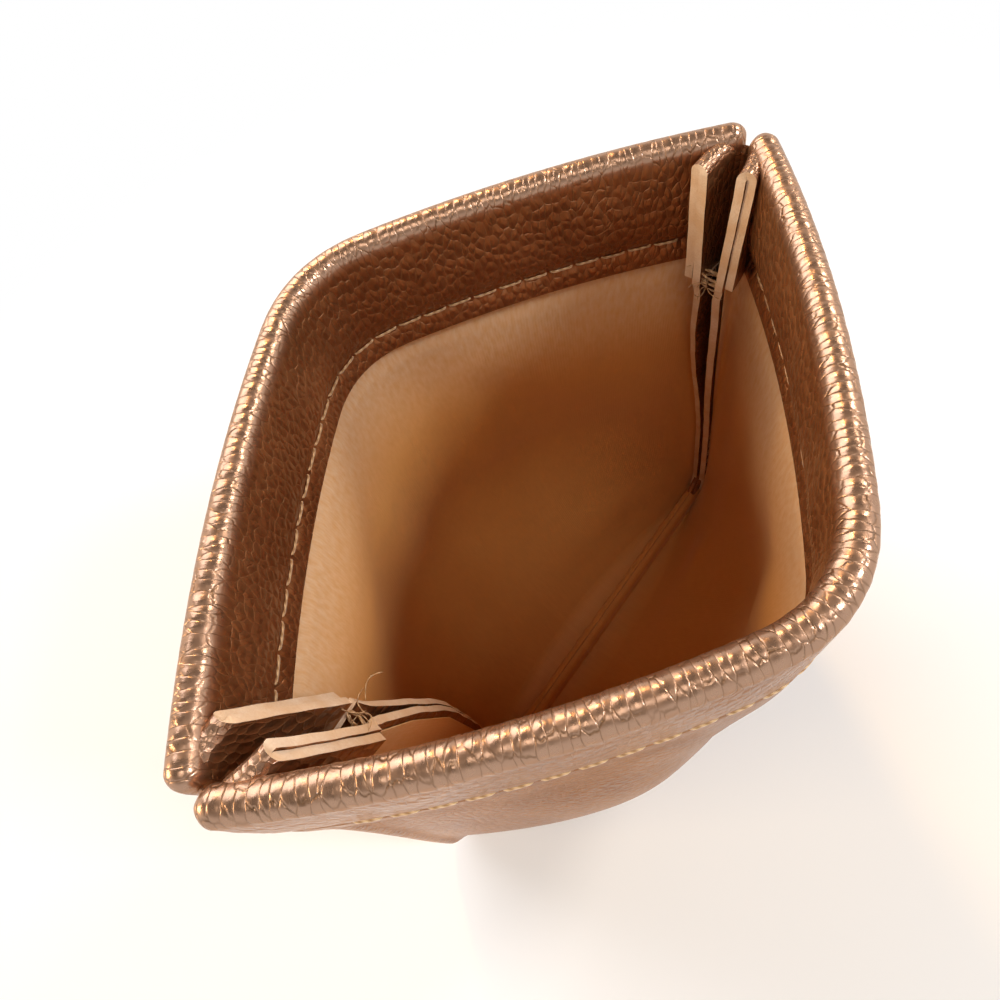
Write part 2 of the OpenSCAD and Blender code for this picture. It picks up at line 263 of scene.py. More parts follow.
def to_quarter(points, face, side):
    """Mirrors back-left points in mm into another quarter of the purse."""
    return np.asarray(points, float) * [1 if side == "left" else -1, 1 if face == "back" else -1, 1]


# Foil-finished pebbled cowhide: soft rounded grains 0.8 mm wide, drawn out to twice that across the
# rim, where the leather is turned tight, with thin valleys between them. The foil under its clear
# finish is mostly metallic. Along the crest its colour is painted paler, a painted silvery highlight,
# and the grain there is pressed flat and cracked across, so that each little plate leans its own way
# and catches silvery light. The valleys are painted lighter than the grain on the facing, as painted
# glints along the grain's edges, and dark gold along the crest, where the dark is the foil's cracks
# and the gold is a painted glint.
grain_along, grain_across = 0.8, 1.5625
leather, tree = new_material("rose_bronze_foil_cowhide")
run = add(tree, "UVMap", uv_map="run")
spaced = add(tree, "VectorMath", {0: run, 1: (1000 / grain_along, 1000 / grain_across, 1.0)},
             operation="MULTIPLY")
waver = add(tree, "TexNoise", {"Vector": spaced, "Scale": 0.55, "Detail": 3.0})
shift = add(tree, "VectorMath", {0: waver.outputs["Color"], 1: (1.1, 1.1, 0.0)}, operation="MULTIPLY")
bent = add(tree, "VectorMath", {0: spaced, 1: shift}, operation="ADD")
cell = {"Vector": bent, "Scale": 1.0, "Randomness": 0.8}
grain = add(tree, "TexVoronoi", {**cell, "Smoothness": 0.35}, feature="SMOOTH_F1", voronoi_dimensions="2D")
dome = add(tree, "MapRange", {
    "Value": grain.outputs["Distance"], "From Min": 0.05, "From Max": 0.65, "To Min": 1.0, "To Max": 0.0})
edges = add(tree, "TexVoronoi", cell, feature="DISTANCE_TO_EDGE", voronoi_dimensions="2D")
valley = add(tree, "MapRange", {
    "Value": edges.outputs["Distance"], "From Max": 0.1, "To Min": 1.0, "To Max": 0.0},
    interpolation_type="SMOOTHSTEP")
plates = add(tree, "TexVoronoi", cell, feature="F1", voronoi_dimensions="2D")
aside = add(tree, "VectorMath", {0: bent, 1: plates.outputs["Position"]}, operation="SUBTRACT")
dice = add(tree, "VectorMath", {0: plates.outputs["Color"], 1: (0.5, 0.5, 0.5)}, operation="SUBTRACT")
lean = add(tree, "VectorMath", {0: aside, 1: dice}, operation="DOT_PRODUCT")
place = add(tree, "TexCoord").outputs["Object"]
broken = add(tree, "TexNoise", {"Vector": place, "Scale": 380.0, "Detail": 2.0})
broken = add(tree, "MapRange", {
    "Value": broken, "From Min": 0.35, "From Max": 0.62, "To Min": 0.2, "To Max": 0.65})
valley = add(tree, "Math", {0: valley, 1: broken}, operation="MULTIPLY")
level = add(tree, "SeparateXYZ", {0: place}).outputs["Z"]
firm = add(tree, "MapRange", {
    "Value": level, "From Min": 0.0815, "From Max": 0.0838, "To Min": 0.85, "To Max": 0.68},
    interpolation_type="SMOOTHSTEP")
# The crest band: it presses the grain flat there and also carries the painted silvery highlight and the
# painted gold glints in the cracks.
crest_and_sheen = add(tree, "MapRange", {"Value": level, "From Min": 0.0829, "From Max": 0.0844},
             interpolation_type="SMOOTHSTEP")
pores = add(tree, "TexNoise", {"Vector": place, "Scale": 4200.0, "Detail": 3.0, "Roughness": 0.6})
cloud = add(tree, "TexNoise", {"Vector": place, "Scale": 95.0, "Detail": 4.0, "Roughness": 0.6})
slack = add(tree, "TexNoise", {"Vector": place, "Scale": 260.0, "Detail": 1.0})
height = add(tree, "MapRange", {"Value": pores, "To Max": 0.12})
flatter = add(tree, "MapRange", {"Value": crest_and_sheen, "To Min": 1.0, "To Max": 0.35})
tilt = add(tree, "MapRange", {"Value": crest_and_sheen, "To Min": 0.1, "To Max": 0.6})
for part, amount in ((dome, flatter), (valley, -0.6), (lean.outputs["Value"], tilt), (slack, 1.5)):
    height = add(tree, "Math", {0: part, 1: amount, 2: height}, operation="MULTIPLY_ADD")
grain_bump = add(tree, "Bump", {"Height": height, "Strength": firm, "Distance": 0.00017})
tops = add(tree, "ValToRGB", {0: cloud}, stops=[(0.34, "#94623d"), (0.68, "#ac7950")])
# Painted highlight: along the crest the grain's colour is painted paler and more silvery.
painted_light_tone = add(tree, "Mix", {0: crest_and_sheen, 6: tops, 7: linear("#ae886e")}, data_type="RGBA")
# Valley colour: painted glints, lighter than the grain, on the facing; on the crest dark cracks tinted gold
# as painted glints.
crack_and_glint = add(tree, "Mix", {0: crest_and_sheen, 6: linear("#b07e55"), 7: linear("#6a4820")}, data_type="RGBA")
colour = add(tree, "Mix", {0: valley, 6: painted_light_tone.outputs[2], 7: crack_and_glint.outputs[2]}, data_type="RGBA")
dull = add(tree, "MapRange", {"Value": dome, "To Min": 0.42, "To Max": 0.27})
for part, amount in ((pores, 0.12), (crest_and_sheen, -0.10)):
    dull = add(tree, "Math", {0: part, 1: amount, 2: dull}, operation="MULTIPLY_ADD")
skin = add(tree, "BsdfPrincipled", {
    "Base Color": colour.outputs[2], "Metallic": 0.8, "Roughness": dull,
    "Normal": grain_bump, "Specular Tint": linear("#dcb48c"), "Coat Weight": 0.55,
    "Coat Roughness": 0.1, "Coat Normal": grain_bump})
add(tree, "OutputMaterial", {"Surface": skin})

# Cut edge of the hide: pale undyed fibres, matt and a little ragged, with no foil.
cut_edge, tree = new_material("raw_cut_hide")
place = add(tree, "TexCoord").outputs["Object"]
fibres = add(tree, "TexNoise", {"Vector": place, "Scale": 3800.0, "Detail": 4.0, "Roughness": 0.7})
patches = add(tree, "TexNoise", {"Vector": place, "Scale": 420.0, "Detail": 3.0})
colour = add(tree, "ValToRGB", {0: patches}, stops=[(0.30, "#e4c29c"), (0.70, "#f9ead6")])
shade = add(tree, "Mix", {0: fibres, 6: linear("#dab48e"), 7: colour}, data_type="RGBA")
fibre_bump = add(tree, "Bump", {"Height": fibres, "Strength": 0.6, "Distance": 0.00012})
skin = add(tree, "BsdfPrincipled", {
    "Base Color": shade.outputs[2], "Roughness": 0.9, "Specular IOR Level": 0.25, "Normal": fibre_bump})
add(tree, "OutputMaterial", {"Surface": skin})


def hem_section():
    """Outline of a hem across its length: first number outward from the centre line, second height
    above the stitch line. Up the outer layer from the stitch groove, over a half circle at the
    crest, down the facing, which is drawn in to the stitch line, round its cut edge, and up its
    hidden side."""
    arc = np.linspace(0, math.pi, 24)
    crest = purse_h - half_rim - stitch_z
    outline = np.vstack([
        [(0.95, 0), (1.12, 0.06), (1.30, 0.25), (1.42, 0.6), (1.47, 1.3), (1.52, 5.0), (1.50, 9.0)],
        np.stack([half_rim * np.cos(arc), crest + half_rim * np.sin(arc)], 1),
        [(-1.46, 10.0), (-1.47, 7.5), (-1.42, 5.0), (-1.22, 2.9), (-0.80, 1.4), (-0.38, 0.5),
         (-0.12, 0.12), (-0.08, -0.08), (-0.20, -0.35), (-0.40, -0.9), (-0.52, -1.7), (-0.58, -2.78),
         (-0.52, -2.94), (-0.38, -3.0), (0.10, -3.0), (0.24, -2.92), (0.28, -2.75), (0.32, -1.1),
         (0.45, -0.2)]])
    return even_run(outline + [0, stitch_z], 132)


def hem_grid():
    """Carries the outline along the rim. Past the corner the two sides close on a half circle seen
    from above, and the crest drops with them, so that the hem ends in a round nose. Quick small
    waves in s make the crest uneven, and a slow one bows the two layers between it and the stitches.
    The grain's run across the rim is slowed at the crest, where the leather is stretched."""
    outline = hem_section()
    out_by, level = outline.T
    close = np.sin(np.linspace(0, math.pi / 2, 9))[:0:-1]
    s = np.concatenate([-half_rim * close, np.linspace(0, half_length - 0.04, 210), [half_length]])[:, None]
    shrink = np.sqrt(np.clip(1 - (np.minimum(s, 0) / half_rim) ** 2, 0.0004, 1))
    groove = np.where(level < stitch_z + 0.7, 0.45, 0.0)
    lift = groove + (out_by - groove) * shrink
    drop = (1 - shrink) * half_rim * smooth_step((level - 76) / 9)
    wave = (0.025 * np.sin(s * 2.9 + 1.2 * np.sin(s * 0.7))
            + 0.02 * np.sin(s * 5.1 + 2.0 * np.sin(s * 0.41)))
    crest = smooth_step((level - 81.5) / 2.5)
    slack = 0.10 * np.sin(s * 0.55 + 1.0) * smooth_step((level - 72) / 3) * smooth_step((83 - level) / 3)
    lift = lift * (1 - 0.45 * wave * crest) + np.where(out_by < 0, -1, 1) * slack * shrink
    points = np.empty((len(s), len(outline), 3))
    points[..., :2] = rim_line(np.broadcast_to(s, lift.shape), lift)
    points[..., 2] = level - drop + wave * crest * 0.5
    stretched = 1 - 0.35 * smooth_step((level[1:] - 82.6) / 1.0)
    run = run_along(outline, stretched)
    raw = (level < facing_z + 0.1) & (out_by < 0.3)
    return points, stacked(s, run) * 0.001, np.tile(raw, (len(s) - 1, 1)).ravel()


points, uv, raw = hem_grid()
faces = grid_faces(*points.shape[:2])
for face, side in QUARTERS:
    hem = make_piece(f"{face}_{side}_hem_leather", to_quarter(points, face, side), faces,
                     [leather, cut_edge], slots=raw, uv=uv, crease=55)
    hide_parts(f"{face}_{side}_hem", f"{face}_{side}_bend_hem")
    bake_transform(hem)


# ----------------------------------------
# The pouch below the hems: the same cowhide, one panel on each side, sewn together right sides
# in along both sides and the bottom and then turned, so each edge is a rounded fold. Each panel
# is made as two halves, which meet under the middle of the rim.
# ----------------------------------------
leather_t = 0.8
corner_r = 9.0                       # of the two bottom corners
flank_w = 2.2                        # how far the sides stand out at the bottom
fold_r = 1.2                         # of the turned seams
seam_gap = 0.1
pouch_depth = 48.0
belly_z = 0.42 * purse_h
slack_depth = 2.0                    # how much fuller the soft leather hangs
rim_depth = 28.35                    # half depth of the mouth at the wall's top
wall_top = 68.2
mouth_angle = math.radians(39)


def side_x(z):
    """Half width of the pouch at a height: a rounded bottom corner, then drawn in to the mouth."""
    drop = np.maximum(0, corner_r - z)
    flank = flank_w * (1 - smooth_step(z / wall_top))
    return -corner[0] + half_rim + flank - corner_r + np.sqrt(np.maximum(0, corner_r ** 2 - drop ** 2))


def belly_y(z):
    """Half depth of the pouch at a height: a power of a sine up to the belly, then on to the rim,
    and a squared sine of the slack on top."""
    low = 2 * fold_r + seam_gap
    swell = np.sin(np.pi / 2 * np.clip(z / belly_z, 0, 1)) ** 0.8
    to_rim = smooth_step((z / wall_top - 0.55) / 0.45)
    full = slack_depth * np.sin(np.pi * np.clip(z / 66, 0, 1)) ** 2
    return low + (pouch_depth / 2 - low) * swell + (rim_depth - pouch_depth / 2) * to_rim + full


def quarter_line(u, z):
    """A quarter of the pouch seen from above, from the side fold (u = 0) to the middle (u = 1):
    straight for a share of the way, then turning evenly through the mouth's angle to run level."""
    share = 0.1 + 0.69 * smooth_step((z / wall_top - 0.3) / 0.7)
    radius = (1 - share) / mouth_angle
    left = np.clip((1 - u) / (1 - share), 0, 1) * mouth_angle
    long = np.minimum(u, share)
    x = long * np.cos(mouth_angle) + radius * (np.sin(mouth_angle) - np.sin(left))
    y = long * np.sin(mouth_angle) + radius * (np.cos(left) - np.cos(mouth_angle))
    x_end = share * np.cos(mouth_angle) + radius * np.sin(mouth_angle)
    y_end = share * np.sin(mouth_angle) + radius * (1 - np.cos(mouth_angle))
    return x / x_end, y / y_end


def wall_line(z, inset=0.0, bottom=None):
    """Plan of the pouch's outer face at a height, as a row of points from the seam plane, round the
    side fold and on to the middle. Near the top it becomes the outer line of the hem, with the
    nose at the corner. A bottom gives the distance of a level row of the folded bottom edge."""
    fold_count, count = 14, 88
    u = np.linspace(0, 1, count)
    far, deep = quarter_line(u, z)
    reach = side_x(z)
    edge_y = 2 * fold_r + seam_gap if bottom is None else bottom
    rise = max(0.0, belly_y(z) - edge_y) if bottom is None else 0.0
    radius = (edge_y - seam_gap) / 2
    angle = np.linspace(1.5 * np.pi, 0.5 * np.pi, fold_count)[:-1]
    fold_x = fold_r - reach
    fold = np.stack([fold_x + fold_r * np.cos(angle), seam_gap + radius + radius * np.sin(angle)], 1)
    line = np.vstack([fold, np.stack([fold_x * (1 - far), edge_y + rise * deep], 1)])
    to_hem = smooth_step((z - 56) / 14)
    if to_hem > 0:
        run = rim_line(u * half_length, half_rim)
        nose_angle = np.linspace(1.5 * np.pi, math.radians(136), fold_count)[:-1]
        nose = corner + half_rim * np.stack([np.cos(nose_angle), np.sin(nose_angle)], 1)
        line = line + (np.vstack([nose, run]) - line) * to_hem
    if inset:
        way = np.gradient(line, axis=0)
        way /= np.linalg.norm(way, axis=1)[:, None] + 1e-9
        line = line + inset * np.stack([way[:, 1], -way[:, 0]], 1)
    return line


def half_row(line, z, hidden):
    """One row of a half panel: its plan line, a short tongue past the middle, and its height. The
    tongue is the line's own last stretch, mirrored and sunk inward by the hidden depth, so that it
    lies inside the thickness of the other half."""
    tongue = 1.5
    x = np.linspace(0, tongue, 7)[1:]
    y = np.interp(-x, line[-30:, 0], line[-30:, 1]) - hidden * smooth_step(x / (0.6 * tongue))
    line = np.vstack([line, np.stack([x, y], 1)])
    return np.column_stack([line, np.full(len(line), z)])


def grid_normals(grid):
    """Unit normals of a grid of points: the cross products of its two running differences."""
    out = np.cross(np.gradient(grid, axis=0), np.gradient(grid, axis=1))
    return out / (np.linalg.norm(out, axis=2, keepdims=True) + 1e-12)


def closed_tube(rings, sides):
    """Quads round a tube of rings, with each end closed by strips that join its two sides."""
    a = np.arange(sides // 2 - 1)
    cap = np.stack([a, a + 1, sides - 2 - a, sides - 1 - a], 1)
    return np.vstack([grid_faces(rings, sides), cap, cap[:, ::-1] + (rings - 1) * sides])


def thick_sheet(outer, thickness):
    """Gives a grid of points its thickness inward: each row becomes a closed loop, out along the
    face and back along its other side, and the first and last loops are closed across."""
    loop = np.concatenate([outer, (outer - grid_normals(outer) * thickness)[:, ::-1]], axis=1)
    return loop, closed_tube(*loop.shape[:2])


def sheet_uv(grid, loop, row, along, upward):
    """Runs along one row of the grid and back, times one factor, and the height times another."""
    run = run_along(grid[row])
    return stacked(np.concatenate([run, run[::-1]]) * along, loop[:, :1, 2] * upward) * 0.001


def soft_swell(grid, size):
    """Uneven slack of the leather: a sum of slow waves in x and z, outward along y, which fades at
    the bottom, the hem, the side seams and the middle."""
    x, z = -np.abs(grid[..., 0]), grid[..., 2]
    wave = (np.sin(x * 0.17 + z * 0.09 + 0.6) + 0.7 * np.sin(x * 0.31 - z * 0.21 + 2.0)
            + 0.5 * np.sin(z * 0.37 + x * 0.05))
    keep = smooth_step(z / 14) * smooth_step((66 - z) / 12) * smooth_step((np.abs(grid[..., 1]) - 2.5) / 8)
    grid = grid.copy()
    grid[..., 1] += size * wave * keep * smooth_step((-x - 2) / 12)
    return grid


def wall_grid():
    """Rows of the panel from its folded bottom edge up to the stitch groove under the hem, where
    the last ones step inward."""
    hidden = 0.25
    rows = []
    for angle in np.radians(np.linspace(180, 292, 11)):
        bottom = seam_gap + fold_r + fold_r * math.cos(angle) + 0.02
        z = fold_r + fold_r * math.sin(angle)
        rows.append(half_row(wall_line(z, bottom=bottom), z, hidden))
    for z in np.concatenate([0.35 + 69.6 * np.linspace(0, 1, 96) ** 1.35, [70.4, 70.8, 71.05]]):
        rows.append(half_row(wall_line(z), z, hidden))
    for inset, z in ((0.05, 71.2), (0.16, 71.33), (0.32, 71.42), (0.5, 71.47)):
        rows.append(half_row(wall_line(z, inset=inset), z, hidden))
    return soft_swell(np.array(rows), 0.28)


grid = wall_grid()
points, faces = thick_sheet(grid, leather_t)
# Away from the rim the grain is slack and nearly round, so it is drawn closer along the height.
uv = sheet_uv(grid, points, 60, 0.92, 1.5) + [0.092, 0]
# The inner side of the folded bottom edge is kept off the floor and behind the seam plane.
points[..., 1:] = np.maximum(points[..., 1:], 0.02)
for face, side in QUARTERS:
    wall = make_piece(f"{face}_{side}_wall_leather", to_quarter(points, face, side), faces, [leather],
                      uv=uv, crease=50)
    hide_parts(f"{face}_panel")
    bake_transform(wall)


# ----------------------------------------
# The lining: beige acetate satin, one piece behind each panel, caught in the side seams and
# the bottom seam and sewn in under the facing. It hangs a little slack inside the leather. Like
# the panels it is made as two halves.
# ----------------------------------------
# Acetate satin: long floats along the height give fine upright lines and a soft, silky sheen. Its
# threads, 0.1 mm apart, are drawn 0.35 mm apart so that they show. Towards the top, under the facing,
# its colour is painted paler as painted light.
satin, tree = new_material("beige_acetate_satin")
run = add(tree, "UVMap", uv_map="run")
threads = add(tree, "TexWave", {
    "Vector": run, "Scale": 900.0, "Distortion": 1.2, "Detail": 2.0, "Detail Scale": 2.0},
    bands_direction="X")
slubs = add(tree, "VectorMath", {0: run, 1: (1900.0, 620.0, 1.0)}, operation="MULTIPLY")
slubs = add(tree, "TexNoise", {"Vector": slubs, "Scale": 1.0, "Detail": 3.0})
tone = add(tree, "TexNoise", {"Vector": run, "Scale": 38.0, "Detail": 3.0})
colour = add(tree, "ValToRGB", {0: tone}, stops=[(0.3, "#dc9f58"), (0.7, "#e6ac66")])
level = add(tree, "SeparateXYZ", {0: add(tree, "TexCoord").outputs["Object"]}).outputs["Z"]
# Painted light: from 50 mm up to 70 mm the colour is painted paler towards the top.
painted_light_top = add(tree, "MapRange", {"Value": level, "From Min": 0.050, "From Max": 0.070, "To Max": 0.9},
            interpolation_type="SMOOTHSTEP")
painted_light_tone = add(tree, "Mix", {0: painted_light_top, 6: colour, 7: linear("#ecd8ba")}, data_type="RGBA")
dark = add(tree, "Mix", {0: slubs, 6: painted_light_tone.outputs[2], 7: linear("#d69c58")}, data_type="RGBA")
height = add(tree, "Math", {0: slubs, 1: 0.8, 2: threads.outputs["Fac"]}, operation="MULTIPLY_ADD")
weave_bump = add(tree, "Bump", {"Height": height, "Strength": 0.14, "Distance": 0.00005})
skin = add(tree, "BsdfPrincipled", {
    "Base Color": dark.outputs[2], "Roughness": 0.46, "Sheen Weight": 0.35, "Sheen Roughness": 0.4,
    "Sheen Tint": linear("#f3d9b4"), "Specular IOR Level": 0.35, "Normal": weave_bump})
add(tree, "OutputMaterial", {"Surface": skin})

# The side seams' allowances: heights, how far the free edge stands from the fold there, and how far
# it leans from the middle plane. The left ones are cut wider downward, the right ones narrower.
LEFT_CUT = [5, 20, 35, 50, 60, 68.4], [13.5, 14.5, 15, 14, 11.6, 8.6]
RIGHT_HEIGHTS = [5, 30, 40, 50, 60, 68.4]
ALLOWANCE = {
    ("back", "left"): (*LEFT_CUT, [0.06, 0.06, 0.06, 0.06, 0.14, 0.95]),
    ("front", "left"): (*LEFT_CUT, [0.06, 0.06, 0.06, 0.06, 0.12, 0.4]),
    ("back", "right"): (RIGHT_HEIGHTS, [1.2, 2.2, 3.2, 4.2, 5.0, 5.5], [0.2, 0.2, 0.35, 0.85, 0.95, 0.35]),
    ("front", "right"): (RIGHT_HEIGHTS, [1.2, 2.2, 3.2, 4.2, 5.0, 5.2], [0.2, 0.2, 0.3, 0.6, 0.9, 0.7]),
}


def lining_grid(face, side):
    """Rows of the lining: along the outside of the seam allowance, where it is sewn in, then the
    panel's own line set in by the leather and a little air, with slow upright folds that fade at the
    seams. The bottom rows stand along the bottom seam's allowance, each with its share of the
    panel's depth; every row is evened out and rounded."""
    seam_y, lowest = 1.02, 3.4
    heights, widths, leans = ALLOWANCE[face, side]
    foot = [(5.75, -1), (5.6, -0.5), (5.2, -0.12), (4.2, 0), (3.2, 0), (2.6, 0.06), (2.5, 0.3), (2.8, 0.7)]
    rows = []
    for z, share in foot + [(z, 1) for z in lowest + 67.2 * np.linspace(0, 1, 84) ** 1.2]:
        air = 1.2 + 0.6 * float(smooth_step((16 - z) / 8)) if z < 66 else 0.98
        line = wall_line(max(z, lowest), inset=air)[13:]
        start_x = line[0, 0]
        wide, lean = np.interp(z, heights, widths), np.interp(z, heights, leans)
        edge_x = -side_x(z) + 0.3 + wide
        line = np.vstack([
            [(edge_x, 1.12 + lean * 0.8), ((edge_x + start_x) / 2, 1.2 + lean * 0.3),
             (start_x + 1.0, 1.35)],
            line[line[:, 0] > start_x + 1.2]])
        if share < 1:
            line[:, 1] = seam_y + (line[:, 1] - seam_y) * max(share, 0) + min(share, 0)
        line = even_run(line, 120)
        for _ in range(10):
            line[1:-1] = (line[:-2] + 2 * line[1:-1] + line[2:]) / 4
        rows.append(half_row(line, z, -0.12))
    grid = np.array(rows)
    x, z = -np.abs(grid[..., 0]), grid[..., 2]
    fade = (smooth_step((z - lowest) / 9) * smooth_step((68 - z) / 20)
            * smooth_step((grid[..., 1] - 4) / 6) * smooth_step((-1 - x) / 9))
    fold = 0.5 + 0.5 * np.sin(x * 0.40 + 0.03 * z + 0.8) * np.cos(x * 0.11 - z * 0.05)
    return grid - grid_normals(grid) * ((fold * 0.9 + 0.35) * fade)[..., None]


satin_t = 0.14
for face, side in QUARTERS:
    grid = lining_grid(face, side)
    points, faces = thick_sheet(grid, satin_t)
    lining = make_piece(f"{face}_{side}_lining_satin", to_quarter(points, face, side), faces, [satin],
                        uv=sheet_uv(grid, points, 50, 1, 1), crease=60)
    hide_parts(f"{face}_lining")
    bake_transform(lining)


# ----------------------------------------
# The spring strips: tempered steel tape 9.5 mm wide, bowed across its width like a steel rule,
# lying loose in each hem channel. It flattens where it buckles, at the middle of the rim, and
# cotton tape is folded round its cut end so that it can't wear through the leather.
# ----------------------------------------
spring_z = 78.58
flat_w = 9.3                         # the strip's width without its rounded edges
spring_t = 0.2
crown = 0.4
tape_t = 0.13

# Bare spring steel: smooth and grey, with a fine lengthwise drawing grain.
steel, tree = new_material("tempered_spring_steel")
run = add(tree, "UVMap", uv_map="run")
drawn = add(tree, "VectorMath", {0: run, 1: (60.0, 6000.0, 1.0)}, operation="MULTIPLY")
drawn = add(tree, "TexNoise", {"Vector": drawn, "Scale": 1.0, "Detail": 3.0})
dull = add(tree, "MapRange", {"Value": drawn, "To Min": 0.22, "To Max": 0.42})
skin = add(tree, "BsdfPrincipled", {"Base Color": linear("#b3b6b8"), "Metallic": 1.0, "Roughness": dull})
add(tree, "OutputMaterial", {"Surface": skin})

# Woven cotton tape: off-white and matt, with crossing threads 0.8 mm apart, twice as far as real.
# Its colour is painted darker in the gaps between the threads, as painted shade.
cotton, tree = new_material("woven_cotton_tape")
run = add(tree, "UVMap", uv_map="run")
warp = add(tree, "TexWave", {"Vector": run, "Scale": 380.0}, bands_direction="X")
weft = add(tree, "TexWave", {"Vector": run, "Scale": 380.0}, bands_direction="Y")
height = add(tree, "Math", {0: warp.outputs["Fac"], 1: weft.outputs["Fac"]}, operation="MULTIPLY")
colour = add(tree, "Mix", {0: height, 6: linear("#c9c2b0"), 7: linear("#ece7da")}, data_type="RGBA")
weave_bump = add(tree, "Bump", {"Height": height, "Strength": 0.6, "Distance": 0.0001})
skin = add(tree, "BsdfPrincipled", {
    "Base Color": colour.outputs[2], "Roughness": 0.9, "Normal": weave_bump})
add(tree, "OutputMaterial", {"Surface": skin})


def strip_grid(s, thickness, margin):
    """Carries a flat loop along the rim: a band whose middle stands out from its edges by the crown,
    which fades to nothing at the buckle, and whose edges are half round."""
    count = 15
    half_t, edge = thickness / 2, flat_w / 2 + margin
    turn_round = np.linspace(-math.pi / 2, math.pi / 2, 5)[1:-1]
    t = np.linspace(-1, 1, count) * edge
    nose, rise = half_t * np.cos(turn_round), half_t * np.sin(turn_round)
    up = np.concatenate([t, edge + nose, -t, -edge - nose])
    out_by = np.concatenate([np.full(count, -half_t), rise, np.full(count, half_t), -rise])
    bow = crown * (1 - np.clip(up / edge, -1, 1) ** 2) - crown / 2
    flat = 1 - smooth_step((s - 33) / 6)
    lift = out_by + bow * flat[:, None]
    points = np.empty((len(s), len(up), 3))
    points[..., :2] = rim_line(np.broadcast_to(s[:, None], lift.shape), lift)
    points[..., 2] = spring_z + up
    half = len(up) // 2
    k = np.arange(1, half)
    pair = (len(up) + count - 1 - np.arange(0, half)) % len(up)
    end = np.stack([k - 1, k, pair[k], pair[k - 1]], 1)
    faces = np.vstack([grid_faces(len(s), len(up)), end, end[:, ::-1] + (len(s) - 1) * len(up)])
    return points, faces, stacked(s[:, None], up) * 0.001


for face, side in QUARTERS:
    points, faces, uv = strip_grid(np.linspace(1.0, half_length - 0.02, 90), spring_t, 0.0)
    strip = make_piece(f"{face}_{side}_spring_strip", to_quarter(points, face, side), faces, [steel],
                       uv=uv, crease=40)
    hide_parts(f"{face}_{side}_spring", f"{face}_{side}_bend_spring")
    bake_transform(strip)
    points, faces, uv = strip_grid(np.linspace(0.8, 7.0, 24), spring_t + 2 * tape_t, tape_t)
    sleeve = make_piece(f"{face}_{side}_end_tape", to_quarter(points, face, side), faces, [cotton],
                        uv=uv, crease=60)
    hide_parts(f"{face}_{side}_spring_tape")
    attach(sleeve, f"{face}_{side}_rim")


# ----------------------------------------
# The lockstitch under each rim: golden polyester thread, pulled tight into a shallow groove on
# the outside and on the facing, so that each stitch dives into its needle holes at both ends.
# ----------------------------------------
stitch_pitch = half_length / 14.5
stitch_count = 13

# Twisted polyester thread: a soft gold gloss on slanting plies 0.9 mm long. The colour is painted
# lighter on each ply and darker in the grooves between plies, as painted highlight and painted shade.
golden_thread, tree = new_material("golden_polyester_thread")
run = add(tree, "UVMap", uv_map="run")
plies = add(tree, "TexWave", {"Vector": run, "Scale": 700.0, "Distortion": 0.3},
            bands_direction="DIAGONAL")
colour = add(tree, "Mix", {0: plies.outputs["Fac"], 6: linear("#b07f4e"), 7: linear("#ebc592")},
             data_type="RGBA")
ply_bump = add(tree, "Bump", {"Height": plies.outputs["Fac"], "Strength": 0.7, "Distance": 0.00008})
skin = add(tree, "BsdfPrincipled", {
    "Base Color": colour.outputs[2], "Roughness": 0.42, "Sheen Weight": 0.2, "Normal": ply_bump})
add(tree, "OutputMaterial", {"Surface": skin})


def thread_tubes(lines, radius, sides=8):
    """Round tubes along many lines of points at once: each ring lies across the line's own
    direction, and the radius closes to a point at both ends along a steep curve."""
    lines = np.asarray(lines, float)
    ahead = np.gradient(lines, axis=1)
    ahead /= np.linalg.norm(ahead, axis=2, keepdims=True) + 1e-12
    slant = [0.13, 0.21, 0.97]
    aside = np.cross(ahead, slant)
    aside /= np.linalg.norm(aside, axis=2, keepdims=True) + 1e-12
    above = np.cross(ahead, aside)
    count, length = lines.shape[:2]
    size = radius * np.sqrt(np.clip(1 - np.linspace(-1, 1, length) ** 10, 0.0009, 1))
    angle = np.linspace(0, 2 * math.pi, sides, endpoint=False)
    ring = aside[:, :, None] * np.cos(angle)[:, None] + above[:, :, None] * np.sin(angle)[:, None]
    points = lines[:, :, None] + ring * size[:, None, None]
    first_points = np.arange(count)[:, None, None] * length * sides
    faces = (closed_tube(length, sides)[None] + first_points).reshape(-1, 4)
    uv = stacked(run_along(lines)[:, :, None], angle * 0.22) * 0.001
    return points.reshape(-1, 3), faces, uv.reshape(-1, 2)


def together(first, second):
    """Two sets of tubes as one: points, faces and uv."""
    return (np.vstack([first[0], second[0]]), np.vstack([first[1], second[1] + len(first[0])]),
            np.vstack([first[2], second[2]]))


def stitch_lines(face_lift, z, run_share):
    """Centre lines of one row of stitches: equal runs along the rim, each sinking at its ends with
    the sixth power of the distance from its middle."""
    middle = half_length - stitch_pitch * (np.arange(stitch_count) + 0.5)[:, None]
    local = np.linspace(-0.5, 0.5, 13)
    s = middle + local * stitch_pitch * run_share
    dive = np.abs(2 * local) ** 6 * 0.32
    lift = np.broadcast_to(face_lift - np.sign(face_lift + 0.3) * dive, s.shape)
    sway = np.broadcast_to(0.05 * np.sin(middle * 7.0), s.shape)
    return np.concatenate([rim_line(s, lift), (z + sway)[..., None]], axis=2)


# Each row's lift, height and share of the pitch, and the radius its thread is pulled down to.
points, faces, uv = together(
    thread_tubes(stitch_lines(1.38, stitch_z, 0.88), 0.19),
    thread_tubes(stitch_lines(-0.34, stitch_z + 0.05, 0.94), 0.14))
for face, side in QUARTERS:
    stitches = make_piece(f"{face}_{side}_stitching", to_quarter(points, face, side), faces,
                          [golden_thread], uv=uv)
    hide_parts(f"{face}_{side}_stitches", f"{face}_{side}_bend_stitches")
    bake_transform(stitches)


